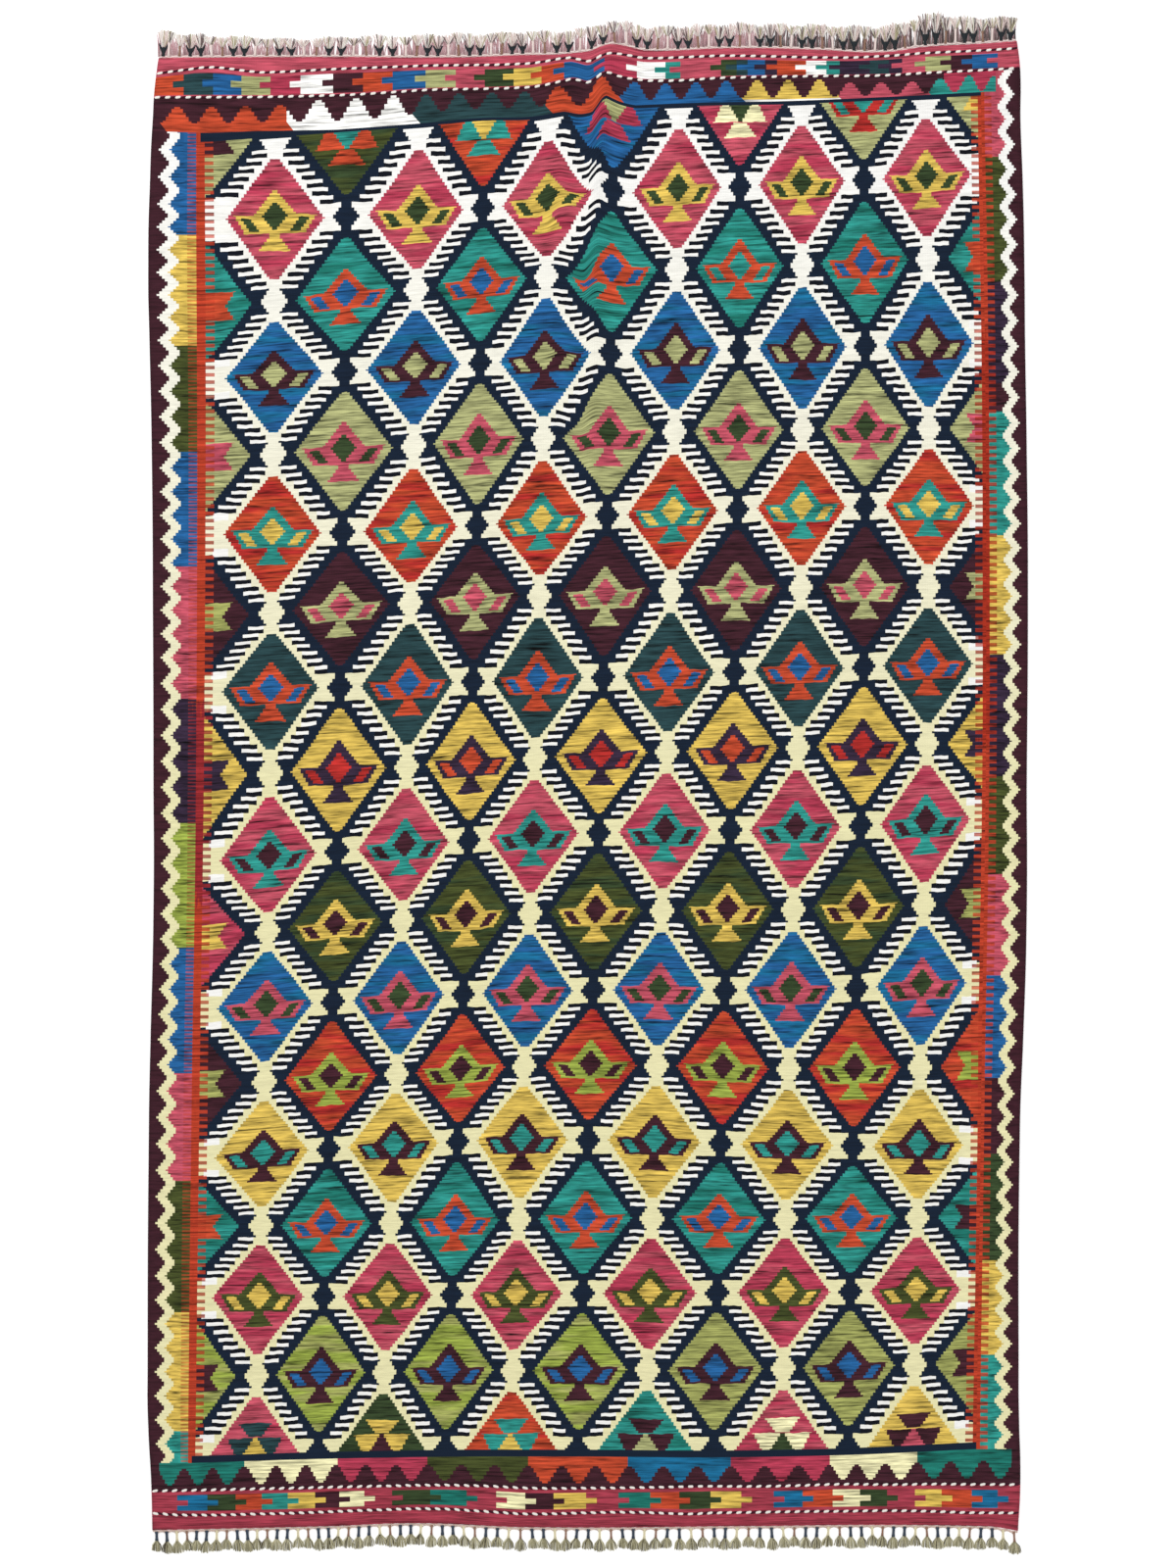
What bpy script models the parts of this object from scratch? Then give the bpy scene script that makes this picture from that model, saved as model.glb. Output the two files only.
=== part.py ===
"""A flat-woven wool rug lying on the floor, with a cord and knotted warp tassels along both ends.

Metres, +Z up. The rug is as wide as X and as long as Y, and the origin is the middle of its underside.
The near end is at -Y and the far end at +Y. A low crease runs lengthwise from the far end.
"""
import bisect
import math
from collections import namedtuple

import bmesh
import bpy

# Driving dimensions
CLOTH_WIDTH = 1.502
CLOTH_LENGTH = 2.550
CLOTH_THICKNESS = 0.003
TASSELS_PER_END = 80
PIECE_GAP = 0.0005           # between the cloth's edge and the cord that runs along it
CORD_WIDTH = 0.0036
CORD_HEIGHT = 0.003
TWINE_HALF_WIDTH = 0.0018    # the raised weft lines across each end
TWINE_HEIGHT = 0.0009
CREASE_HALF_WIDTH = 0.030

# Spacing of the cloth's grid lines
COLUMN_STEP = 0.052
CREASE_COLUMN_STEP = 0.0085
CREASE_REACH = (-0.036, 0.072)   # how far left and right the crease gets
MIDDLE_ROWS = 25

# The ends of the cloth. "beyond" is how far the edge stands past half of CLOTH_LENGTH. The twined
# lines are given by their distance in from that edge.
End = namedtuple("End", "across beyond outer_twine inner_twine")
FAR_END = [
    End(-0.751, -0.013, 0.020, 0.068),
    End(-0.430, -0.011, 0.020, 0.066),
    End(-0.267, -0.012, 0.014, 0.055),
    End(-0.115, -0.008, 0.015, 0.056),
    End(0.000, -0.002, 0.015, 0.053),
    End(0.049, 0.010, 0.017, 0.053),
    End(0.105, 0.000, 0.013, 0.052),
    End(0.240, 0.004, 0.013, 0.051),
    End(0.410, 0.001, 0.013, 0.045),
    End(0.510, -0.003, 0.007, 0.040),
    End(0.580, 0.006, 0.011, 0.045),
    End(0.684, 0.012, 0.012, 0.046),
    End(0.751, 0.017, 0.013, 0.047),
]
NEAR_END = [
    End(-0.751, 0.005, 0.026, 0.070),
    End(-0.437, -0.002, 0.020, 0.064),
    End(-0.284, -0.007, 0.015, 0.058),
    End(-0.098, 0.000, 0.022, 0.065),
    End(0.274, -0.002, 0.020, 0.064),
    End(0.680, -0.002, 0.020, 0.064),
    End(0.751, 0.007, 0.028, 0.072),
]

# How far each selvedge stands out past half of CLOTH_WIDTH.
Side = namedtuple("Side", "along left right")
SIDES = [
    Side(-1.278, -0.002, -0.005),
    Side(-1.194, 0.000, -0.001),
    Side(-1.100, 0.005, -0.003),
    Side(-1.007, 0.006, -0.004),
    Side(-0.600, 0.004, -0.002),
    Side(-0.430, 0.001, 0.004),
    Side(-0.212, -0.004, 0.010),
    Side(0.000, -0.004, 0.010),
    Side(0.300, -0.003, 0.012),
    Side(0.584, -0.001, 0.010),
    Side(0.780, 0.003, 0.007),
    Side(0.900, 0.005, 0.006),
    Side(1.050, 0.002, 0.003),
    Side(1.160, -0.003, -0.001),
    Side(1.236, -0.009, -0.001),
    Side(1.292, -0.019, -0.007),
]

# The crease's middle line and height along the rug. Nearer than the first row the cloth is flat.
Crease = namedtuple("Crease", "along middle height")
CREASE = [
    Crease(0.300, -0.004, 0.0000),
    Crease(0.520, 0.000, 0.0020),
    Crease(0.800, 0.004, 0.0050),
    Crease(1.100, 0.014, 0.0075),
    Crease(1.290, 0.036, 0.0085),
]

# One tassel, from its root on the cord to its cut end.
Lock = namedtuple("Lock", "reach width thickness")
LOCK = [
    Lock(0.000, 0.0040, CORD_HEIGHT),
    Lock(0.018, 0.0034, 0.0026),
    Lock(0.021, 0.0066, 0.0036),
    Lock(0.030, 0.0122, 0.0032),
    Lock(0.037, 0.0100, 0.0014),
]
FAR_TASSEL_STRETCH = 1.08
LENGTH_VARIATION = 0.07      # share of a tassel's length
LEAN = 0.0026                # sideways drift of a tassel's end

# Finishes: colour and roughness
WOOL_COLOUR = (0.42, 0.13, 0.13, 1.0)
YARN_COLOUR = (0.62, 0.56, 0.42, 1.0)
WOOL_ROUGHNESS = 0.9


def clear_scene():
    for thing in list(bpy.data.objects):
        bpy.data.objects.remove(thing, do_unlink=True)


def curve_through(rows, column):
    """One column of a table as a smooth curve over the table's first column."""
    places = [row[0] for row in rows]
    values = [getattr(row, column) for row in rows]
    last = len(rows) - 1

    def slope(i):
        before, after = max(i - 1, 0), min(i + 1, last)
        return (values[after] - values[before]) / (places[after] - places[before])

    def read(place):
        place = min(max(place, places[0]), places[last])
        i = min(bisect.bisect_right(places, place), last) - 1
        span = places[i + 1] - places[i]
        t = (place - places[i]) / span
        from_left = values[i] + slope(i) * span * t
        from_right = values[i + 1] - slope(i + 1) * span * (1 - t)
        blend = t * t * (3 - 2 * t)
        return from_left * (1 - blend) + from_right * blend

    return read


left_selvedge = curve_through(SIDES, "left")
right_selvedge = curve_through(SIDES, "right")
crease_middle = curve_through(CREASE, "middle")
crease_height = curve_through(CREASE, "height")


def crease_lift(across, along):
    """Height of the cloth's underside over the floor."""
    if along <= CREASE[0].along:
        return 0.0
    off = abs(across - crease_middle(along)) / CREASE_HALF_WIDTH
    if off >= 1.0:
        return 0.0
    return crease_height(along) * 0.5 * (1 + math.cos(math.pi * off))


def place(across, along, height):
    """A point of the rug, given on the plain rectangle and moved to the real outline."""
    half = CLOTH_WIDTH / 2
    out = left_selvedge(along) if across < 0 else right_selvedge(along)
    return (across * (1 + out / half), along, height + crease_lift(across, along))


def steps(start, stop, step):
    """Evenly spaced places from start to stop, both included."""
    count = max(1, round((stop - start) / step))
    return [start + (stop - start) * i / count for i in range(count + 1)]


def column_places():
    """Places across the rug of the cloth's lengthwise grid lines, closest at the crease."""
    half = CLOTH_WIDTH / 2
    left, right = CREASE_REACH
    return (
        steps(-half, left, COLUMN_STEP)
        + steps(left, right, CREASE_COLUMN_STEP)[1:]
        + steps(right, half, COLUMN_STEP)[1:]
    )


COLUMNS = column_places()


class RugEnd:
    """One end of the rug: the line of its edge and the twined lines beside it."""

    def __init__(self, rows, side):
        self.side = side         # +1 at the far end, -1 at the near end
        beyond = curve_through(rows, "beyond")
        self.edge_at_columns = [side * (CLOTH_LENGTH / 2 + beyond(x)) for x in COLUMNS]
        self.twines = [curve_through(rows, "outer_twine"), curve_through(rows, "inner_twine")]

    def edge(self, across):
        """The cloth's edge, straight between its grid lines as the solid's own edge is."""
        i = min(max(bisect.bisect_right(COLUMNS, across), 1), len(COLUMNS) - 1)
        t = (across - COLUMNS[i - 1]) / (COLUMNS[i] - COLUMNS[i - 1])
        return self.edge_at_columns[i - 1] * (1 - t) + self.edge_at_columns[i] * t

    def grid_rows(self):
        """Rows of (along, ridge height) from the edge to just inside the inner twined line."""
        rows = [[(y, 0.0) for y in self.edge_at_columns]]
        for twine in self.twines:
            for shift, ridge in ((-TWINE_HALF_WIDTH, 0.0), (0.0, TWINE_HEIGHT), (TWINE_HALF_WIDTH, 0.0)):
                rows.append([
                    (y - self.side * (twine(x) + shift), ridge)
                    for x, y in zip(COLUMNS, self.edge_at_columns)
                ])
        return rows


def make_material(name, colour):
    material = bpy.data.materials.new(name)
    material.use_nodes = True
    shader = material.node_tree.nodes["Principled BSDF"]
    shader.inputs["Base Color"].default_value = colour
    shader.inputs["Roughness"].default_value = WOOL_ROUGHNESS
    shader.inputs["Metallic"].default_value = 0.0
    return material


def make_object(name, bm, material):
    bmesh.ops.recalc_face_normals(bm, faces=bm.faces[:])
    mesh = bpy.data.meshes.new(name)
    bm.to_mesh(mesh)
    bm.free()
    mesh.materials.append(material)
    thing = bpy.data.objects.new(name, mesh)
    bpy.context.collection.objects.link(thing)
    return thing


def cloth_rows(near, far):
    """All grid rows of the cloth, near to far, as (along, ridge height) at each column."""
    near_rows = near.grid_rows()
    far_rows = far.grid_rows()
    rows = list(near_rows)
    for i in range(1, MIDDLE_ROWS + 1):
        t = i / (MIDDLE_ROWS + 1)
        rows.append([
            (a[0] * (1 - t) + b[0] * t, 0.0) for a, b in zip(near_rows[-1], far_rows[-1])
        ])
    return rows + far_rows[::-1]


def make_cloth(near, far, material):
    """The woven sheet: one grid for its underside, a second for its top, and a rim between them."""
    bm = bmesh.new()
    under, top = [], []
    for row in cloth_rows(near, far):
        under.append([bm.verts.new(place(x, y, 0.0)) for x, (y, _) in zip(COLUMNS, row)])
        top.append([
            bm.verts.new(place(x, y, CLOTH_THICKNESS + ridge)) for x, (y, ridge) in zip(COLUMNS, row)
        ])
    for grid in (under, top):
        for a, b in zip(grid, grid[1:]):
            for i in range(len(COLUMNS) - 1):
                bm.faces.new((a[i], a[i + 1], b[i + 1], b[i]))
    rims = [
        (under[0], top[0]),
        (under[-1], top[-1]),
        ([row[0] for row in under], [row[0] for row in top]),
        ([row[-1] for row in under], [row[-1] for row in top]),
    ]
    for low, high in rims:
        for i in range(len(low) - 1):
            bm.faces.new((low[i], low[i + 1], high[i + 1], high[i]))
    return make_object("kilim_cloth", bm, material)


def bridge(bm, ring_a, ring_b, skip=None):
    """Quads between two rings of equal length, apart from the side numbered skip."""
    count = len(ring_a)
    for i in range(count):
        if i != skip:
            j = (i + 1) % count
            bm.faces.new((ring_a[i], ring_a[j], ring_b[j], ring_b[i]))


def cord_ring(bm, end, across):
    """The end cord's section: inner low, inner high, outer high, outer low."""
    inner = end.edge(across) + end.side * PIECE_GAP
    outer = inner + end.side * CORD_WIDTH
    points = [(inner, 0.0), (inner, CORD_HEIGHT), (outer, CORD_HEIGHT), (outer, 0.0)]
    return [bm.verts.new(place(across, y, z)) for y, z in points]


OUTER_SIDE = 2    # the side of cord_ring's section that the tassels grow from


def add_lock(bm, end, number, middle, left_ring, right_ring, stretch):
    """One tassel grown from the cord's outer side between two of the cord's sections."""
    lean = LEAN * (math.sin(0.9 * number) + 0.4 * math.sin(2.3 * number + 1.0))
    length = stretch * (1 + LENGTH_VARIATION * math.sin(1.7 * number + end.side))
    root_y = end.edge(middle) + end.side * (PIECE_GAP + CORD_WIDTH)
    full_reach = LOCK[-1].reach
    ring = [left_ring[3], left_ring[2], right_ring[2], right_ring[3]]
    for lock in LOCK[1:]:
        share = lock.reach / full_reach
        along = root_y + end.side * lock.reach * length
        x = middle + lean * share ** 2
        low = crease_lift(middle, root_y) * (1 - share)
        high = low + lock.thickness
        half = lock.width / 2
        corners = [(x - half, low), (x - half, high), (x + half, high), (x + half, low)]
        outward = place(middle, along, 0.0)[0] - middle
        next_ring = [bm.verts.new((cx + outward, along, cz)) for cx, cz in corners]
        bridge(bm, ring, next_ring)
        ring = next_ring
    bm.faces.new(ring)


def make_fringe(name, end, stretch, material):
    """The cord along one end of the cloth with its row of tassels, as one body."""
    bm = bmesh.new()
    pitch = CLOTH_WIDTH / TASSELS_PER_END
    half_root = LOCK[0].width / 2
    middles = [(number + 0.5) * pitch - CLOTH_WIDTH / 2 for number in range(TASSELS_PER_END)]
    places = [-CLOTH_WIDTH / 2]
    for middle in middles:
        places += [middle - half_root, middle + half_root]
    places.append(CLOTH_WIDTH / 2)
    rings = [cord_ring(bm, end, across) for across in places]
    for i, (ring, next_ring) in enumerate(zip(rings, rings[1:])):
        at_tassel = i % 2 == 1
        bridge(bm, ring, next_ring, skip=OUTER_SIDE if at_tassel else None)
    bm.faces.new(rings[0])
    bm.faces.new(rings[-1])
    for number, middle in enumerate(middles):
        add_lock(bm, end, number, middle, rings[2 * number + 1], rings[2 * number + 2], stretch)
    return make_object(name, bm, material)


def main():
    clear_scene()
    wool = make_material("wool_weave", WOOL_COLOUR)
    yarn = make_material("fringe_yarn", YARN_COLOUR)
    near = RugEnd(NEAR_END, -1)
    far = RugEnd(FAR_END, 1)
    make_cloth(near, far, wool)
    make_fringe("fringe_near", near, 1.0, yarn)
    make_fringe("fringe_far", far, FAR_TASSEL_STRETCH, yarn)


main()
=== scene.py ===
"""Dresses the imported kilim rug: the woven pattern, its raised weft lines and its fringes.

Metres, +Z up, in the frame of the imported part. The near end is at -Y and the far end at +Y.

The field is a lattice of two interlocked sets of diamonds. A place in it is given by two lattice
numbers: columns run from 0 at the left comb to 12 at the right one, and rows from 0 at the far end to
17 at the near end. A diamond with a cream border stands at each odd column and odd row, and one
between navy bands at each even column and even row.
"""

import bisect
import math
from collections import namedtuple

import bpy
import numpy as np
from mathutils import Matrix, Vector


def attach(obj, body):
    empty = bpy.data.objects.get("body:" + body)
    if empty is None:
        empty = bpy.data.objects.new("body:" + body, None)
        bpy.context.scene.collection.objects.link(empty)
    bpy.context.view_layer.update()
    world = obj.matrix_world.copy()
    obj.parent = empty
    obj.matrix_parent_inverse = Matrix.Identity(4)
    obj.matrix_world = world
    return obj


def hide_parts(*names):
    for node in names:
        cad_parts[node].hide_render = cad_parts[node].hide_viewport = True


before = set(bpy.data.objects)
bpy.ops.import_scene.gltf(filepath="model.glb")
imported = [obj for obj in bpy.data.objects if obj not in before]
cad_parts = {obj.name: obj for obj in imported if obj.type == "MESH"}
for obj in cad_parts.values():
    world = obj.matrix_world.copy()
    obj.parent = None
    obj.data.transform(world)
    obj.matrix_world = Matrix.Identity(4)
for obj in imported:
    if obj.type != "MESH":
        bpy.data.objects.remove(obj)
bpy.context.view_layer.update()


def table(names, *rows):
    """A table of numbers, as rows whose values have names."""
    row_type = namedtuple("Row", names)
    return [row_type(*row) for row in rows]


# ---------------------------------------------------------------- the cloth's outline, as in the part

CLOTH_WIDTH = 1.502
CLOTH_LENGTH = 2.550
CLOTH_THICKNESS = 0.003
TASSELS_PER_END = 80
PIECE_GAP = 0.0005
CORD_WIDTH = 0.0036
CREASE_HALF_WIDTH = 0.030
FAR_TASSEL_STRETCH = 1.08
LENGTH_VARIATION = 0.07
LEAN = 0.0026

FAR_END = table(
    "across beyond outer_twine inner_twine",
    (-0.751, -0.013, 0.020, 0.068), (-0.430, -0.011, 0.020, 0.066), (-0.267, -0.012, 0.014, 0.055),
    (-0.115, -0.008, 0.015, 0.056), (0.000, -0.002, 0.015, 0.053), (0.049, 0.010, 0.017, 0.053),
    (0.105, 0.000, 0.013, 0.052), (0.240, 0.004, 0.013, 0.051), (0.410, 0.001, 0.013, 0.045),
    (0.510, -0.003, 0.007, 0.040), (0.580, 0.006, 0.011, 0.045), (0.684, 0.012, 0.012, 0.046),
    (0.751, 0.017, 0.013, 0.047),
)
NEAR_END = table(
    "across beyond outer_twine inner_twine",
    (-0.751, 0.005, 0.026, 0.070), (-0.437, -0.002, 0.020, 0.064), (-0.284, -0.007, 0.015, 0.058),
    (-0.098, 0.000, 0.022, 0.065), (0.274, -0.002, 0.020, 0.064), (0.680, -0.002, 0.020, 0.064),
    (0.751, 0.007, 0.028, 0.072),
)

# How much further in from the edge the twined lines lie in places.
FAR_RIPPLES = table(
    "across outer_twine inner_twine",
    (-0.751, 0.007, 0.000), (-0.689, -0.001, 0.000), (-0.665, -0.0035, 0.000), (-0.630, -0.002, 0.000),
    (-0.591, 0.003, 0.000), (-0.550, 0.005, 0.000), (-0.400, 0.000, 0.000), (-0.110, 0.000, 0.000),
    (-0.073, -0.0035, -0.0032), (-0.034, -0.0074, -0.0084), (-0.015, -0.0038, -0.0066),
    (0.002, 0.0018, 0.0005), (0.017, 0.001, -0.0022), (0.034, -0.0014, -0.0059), (0.059, -0.001, 0.0014),
    (0.090, 0.000, 0.000),
)
NEAR_RIPPLES = table(
    "across outer_twine inner_twine",
    (-0.742, 0.0027, -0.0022), (-0.690, 0.000, -0.0016), (-0.565, 0.0014, 0.0006), (-0.490, 0.0032, 0.0021),
    (-0.430, 0.0054, 0.0036), (-0.338, 0.0086, 0.006), (-0.270, 0.010, 0.0078), (-0.200, 0.007, 0.0072),
    (-0.150, 0.0038, 0.0054), (-0.096, 0.0011, 0.0027), (0.000, 0.003, 0.0024), (0.090, 0.0038, 0.003),
    (0.176, 0.0011, 0.0045), (0.216, 0.0027, 0.005), (0.284, 0.0038, 0.0046), (0.378, 0.0052, 0.0062),
    (0.440, 0.0055, 0.008), (0.524, 0.0065, 0.0073), (0.605, 0.0052, 0.0084), (0.673, 0.0032, 0.008),
    (0.740, 0.0035, 0.0085),
)

SIDES = table(
    "along left right",
    (-1.278, -0.002, -0.005), (-1.194, 0.000, -0.001), (-1.100, 0.005, -0.003), (-1.007, 0.006, -0.004),
    (-0.600, 0.004, -0.002), (-0.430, 0.001, 0.004), (-0.212, -0.004, 0.010), (0.000, -0.004, 0.010),
    (0.300, -0.003, 0.012), (0.584, -0.001, 0.010), (0.780, 0.003, 0.007), (0.900, 0.005, 0.006),
    (1.050, 0.002, 0.003), (1.160, -0.003, -0.001), (1.236, -0.009, -0.001), (1.292, -0.019, -0.007),
)

CREASE = table(
    "along middle height kink",
    (0.300, -0.004, 0.000, 0.00), (0.520, 0.000, 0.002, 0.15), (0.800, 0.004, 0.005, 0.45),
    (1.100, 0.014, 0.0075, 1.00), (1.290, 0.036, 0.0085, 1.00),
)
# How far the weft lines are pushed to the far end beside the crease's middle line.
KINK = {
    -0.058: 0.000, -0.014: -0.008, 0.000: 0.004, 0.012: 0.017, 0.022: 0.015, 0.040: 0.007, 0.065: 0.000,
}
# Places beside the crease where the weave is dragged out of line.
DRAGS = table(
    "across along reach push",
    (-0.027, 1.000, 0.032, 0.020), (-0.075, 0.975, 0.022, -0.006), (0.000, 0.893, 0.020, -0.014),
    (0.062, 0.900, 0.018, 0.006), (-0.012, 0.640, 0.022, -0.010), (-0.040, 0.745, 0.022, 0.008),
    (-0.095, 1.140, 0.060, -0.0085),
)

# ---------------------------------------------------------------- the lattice's place on the cloth

# Where each lattice row crosses five lattice columns, from the left comb to the right one.
ROW_LINES = table(
    "row at_0 at_3 at_6 at_9 at_12",
    (0, 1.117, 1.144, 1.173, 1.183, 1.198), (1, 0.983, 0.995, 1.026, 1.045, 1.062),
    (2, 0.830, 0.863, 0.891, 0.904, 0.921), (3, 0.706, 0.728, 0.750, 0.762, 0.770),
    (4, 0.571, 0.592, 0.611, 0.621, 0.623), (5, 0.438, 0.449, 0.471, 0.486, 0.489),
    (6, 0.294, 0.321, 0.337, 0.347, 0.350), (7, 0.166, 0.181, 0.193, 0.207, 0.217),
    (8, 0.021, 0.039, 0.058, 0.071, 0.080), (9, -0.128, -0.098, -0.076, -0.069, -0.049),
    (10, -0.258, -0.227, -0.212, -0.208, -0.196), (11, -0.382, -0.361, -0.347, -0.347, -0.332),
    (12, -0.512, -0.493, -0.477, -0.484, -0.477), (13, -0.640, -0.616, -0.606, -0.616, -0.615),
    (14, -0.757, -0.750, -0.742, -0.743, -0.738), (15, -0.880, -0.875, -0.872, -0.870, -0.865),
    (16, -1.018, -1.007, -1.004, -1.001, -0.989), (17, -1.152, -1.143, -1.141, -1.141, -1.128),
)

# Where each lengthwise line lies across the rug at four lattice rows. The combs are the stepped red
# lines between the field and the side borders.
COLUMN_LINES = table(
    "row left_comb c0 c1 c3 c5 c7 c9 c11 c12 right_comb",
    (0, -0.666, -0.657, -0.537, -0.288, -0.064, 0.161, 0.372, 0.586, 0.698, 0.682),
    (6, -0.665, -0.664, -0.543, -0.303, -0.081, 0.147, 0.371, 0.591, 0.703, 0.691),
    (12, -0.674, -0.676, -0.555, -0.327, -0.107, 0.122, 0.350, 0.577, 0.687, 0.683),
    (17, -0.681, -0.684, -0.572, -0.354, -0.132, 0.102, 0.339, 0.565, 0.677, 0.674),
)
LAST_ROW = 17
LAST_COLUMN = 12
# Width of the dark line that closes the field
FAR_NAVY_LINE = {-0.751: 0.019, -0.580: 0.013, -0.430: 0.005, 0.751: 0.006}
NEAR_NAVY_LINE = {-0.751: 0.012, 0.751: 0.012}

# Outward points of the side borders' zigzags, counted from the far end.
LEFT_ZIGZAG = {
    -1.131: 52, -0.841: 45, -0.476: 37, -0.042: 27, 0.227: 21, 0.554: 13, 0.775: 8, 0.931: 4, 1.010: 2,
    1.104: 0,
}
RIGHT_ZIGZAG = {
    -1.115: 55, -0.762: 46, -0.527: 40, -0.252: 34, 0.166: 24, 0.500: 16, 0.676: 12, 0.897: 7, 1.200: 0,
}
# Points of the end bands' stepped triangles, counted from the left. tip and strip are how far the
# triangles and the plain strip under them reach, as shares of the band.
FAR_TEETH = table(
    "place number tip strip",
    (-0.706, 0, 0.72, 0.26), (-0.529, 3, 0.74, 0.26), (-0.462, 4, 0.87, 0.25), (-0.332, 6, 0.90, 0.25),
    (-0.276, 7, 0.86, 0.32), (-0.106, 10, 0.86, 0.32), (-0.050, 11, 0.84, 0.28), (0.024, 12, 0.88, 0.22),
    (0.085, 13, 0.88, 0.20), (0.242, 16, 0.87, 0.19), (0.403, 19, 0.86, 0.12), (0.456, 20, 0.70, 0.10),
    (0.563, 22, 0.64, 0.08), (0.611, 23, 0.72, 0.08), (0.662, 24, 0.82, 0.06), (0.704, 25, 0.70, 0.06),
)
NEAR_TEETH = table(
    "place number tip strip",
    (-0.719, 0, 0.82, 0.22), (-0.620, 2, 0.82, 0.20), (-0.561, 3, 0.83, 0.19), (-0.458, 5, 0.83, 0.21),
    (-0.302, 8, 0.83, 0.28), (-0.071, 12, 0.84, 0.30), (0.104, 15, 0.84, 0.31), (0.396, 20, 0.84, 0.32),
    (0.491, 22, 0.83, 0.33), (0.543, 23, 0.83, 0.33), (0.715, 26, 0.83, 0.33),
)

# ---------------------------------------------------------------- the wool's colours

PALETTE = {
    "cream": (241, 235, 185), "white": (255, 254, 250), "navy": (19, 33, 52), "ink": (12, 16, 26),
    "aubergine": (64, 30, 40), "plum": (52, 38, 58), "pink": (190, 80, 97), "crimson": (178, 58, 82),
    "madder": (164, 60, 76), "teal": (44, 144, 134), "sea": (28, 116, 104), "blue": (34, 94, 150),
    "azure": (24, 104, 146), "sage": (170, 172, 118), "lime": (150, 166, 70), "moss": (158, 162, 92),
    "orange": (194, 73, 44), "red": (176, 44, 40), "comb": (182, 61, 37), "rust": (164, 46, 27),
    "brick": (150, 40, 44), "yellow": (216, 184, 86), "olive": (68, 76, 36), "green": (52, 68, 40),
    "slate": (38, 66, 70),
}

# The diamonds' colours: fill, motif and the motif's inner parts, by lattice row
Diamond = namedtuple("Diamond", "fill motif inner abrash")
ROW_COLOURS = {
    1: "pink yellow green", 2: "teal orange blue", 3: "blue aubergine sage", 4: "sage pink green",
    5: "orange teal yellow", 6: "aubergine sage pink", 7: "slate orange blue", 8: "yellow plum red",
    9: "pink teal aubergine", 10: "olive yellow aubergine", 11: "blue pink green",
    12: "orange lime aubergine", 13: "yellow aubergine teal", 14: "teal orange blue",
    15: "crimson olive yellow", 16: "lime aubergine blue",
}
# Diamonds at these lattice columns and rows differ from the rest of their row.
ODD_ONES = {
    (0, 0): "sage aubergine aubergine", (2, 0): "olive orange teal", (4, 0): "orange teal yellow",
    (6, 0): "blue crimson sage", (8, 0): "pink cream green", (10, 0): "sage red teal",
    (12, 0): "sage yellow yellow", (0, 6): "aubergine moss moss", (0, 8): "yellow plum plum",
    (0, 10): "crimson yellow yellow", (0, 12): "aubergine moss moss", (8, 2): "teal orange teal",
    (4, 8): "yellow plum orange", (8, 8): "yellow plum orange", (12, 10): "aubergine moss moss",
    (12, 14): "teal aubergine aubergine", (8, 16): "moss aubergine blue", (10, 16): "moss aubergine blue",
    (12, 16): "moss aubergine aubergine", (1, 17): "pink slate yellow", (3, 17): "green yellow aubergine",
    (5, 17): "orange teal yellow", (7, 17): "teal aubergine sage", (9, 17): "crimson cream green",
    (11, 17): "yellow aubergine pink",
}

# A stripe of colours: each runs on from its place to the next one's.
LEFT_COLUMN = {
    -1.280: "teal", -1.109: "yellow", -0.904: "olive", -0.677: "pink", -0.491: "blue", -0.274: "lime",
    -0.059: "plum", 0.156: "pink", 0.384: "blue", 0.582: "olive", 0.765: "yellow", 0.957: "blue",
}
RIGHT_COLUMN = {
    -1.280: "teal", -0.977: "yellow", -0.814: "green", -0.630: "aubergine", -0.499: "blue", -0.322: "pink",
    -0.147: "olive", 0.022: "plum", 0.232: "yellow", 0.438: "teal", 0.652: "aubergine", 0.701: "plum",
    0.876: "olive", 1.092: "pink",
}
FAR_TRIANGLES = {
    -0.760: "aubergine", -0.736: "orange", -0.517: "white", -0.300: "slate", -0.070: "orange",
    0.056: "blue", 0.268: "yellow", 0.436: "pink", 0.592: "teal", 0.716: "aubergine",
}
FAR_GROUND = {-0.760: "aubergine", 0.618: "crimson", 0.710: "aubergine"}
# The plain strip under the yellow triangles is white.
FAR_STRIP = {start: name.replace("yellow", "white") for start, name in FAR_TRIANGLES.items()}
NEAR_TRIANGLES = {
    -0.760: "aubergine", -0.737: "sea", -0.590: "cream", -0.429: "crimson", -0.274: "olive",
    -0.100: "orange", 0.072: "azure", 0.250: "crimson", 0.421: "cream", 0.572: "sea", 0.735: "aubergine",
}
FAR_BLOCKS = {
    -0.760: "orange", -0.695: "slate", -0.644: "blue", -0.595: "sage", -0.545: "crimson", -0.493: "white",
    -0.437: "aubergine", -0.385: "orange", -0.334: "blue", -0.277: "sage", -0.225: "pink", -0.175: "green",
    -0.125: "yellow", -0.077: "orange", -0.038: "blue", 0.032: "crimson", 0.088: "white", 0.137: "teal",
    0.163: "pink", 0.233: "green", 0.260: "slate", 0.279: "blue", 0.309: "plum", 0.330: "orange",
    0.380: "white", 0.415: "teal", 0.438: "plum", 0.490: "slate", 0.523: "plum", 0.546: "pink",
    0.586: "sage", 0.630: "aubergine", 0.667: "blue", 0.711: "pink",
}
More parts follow.
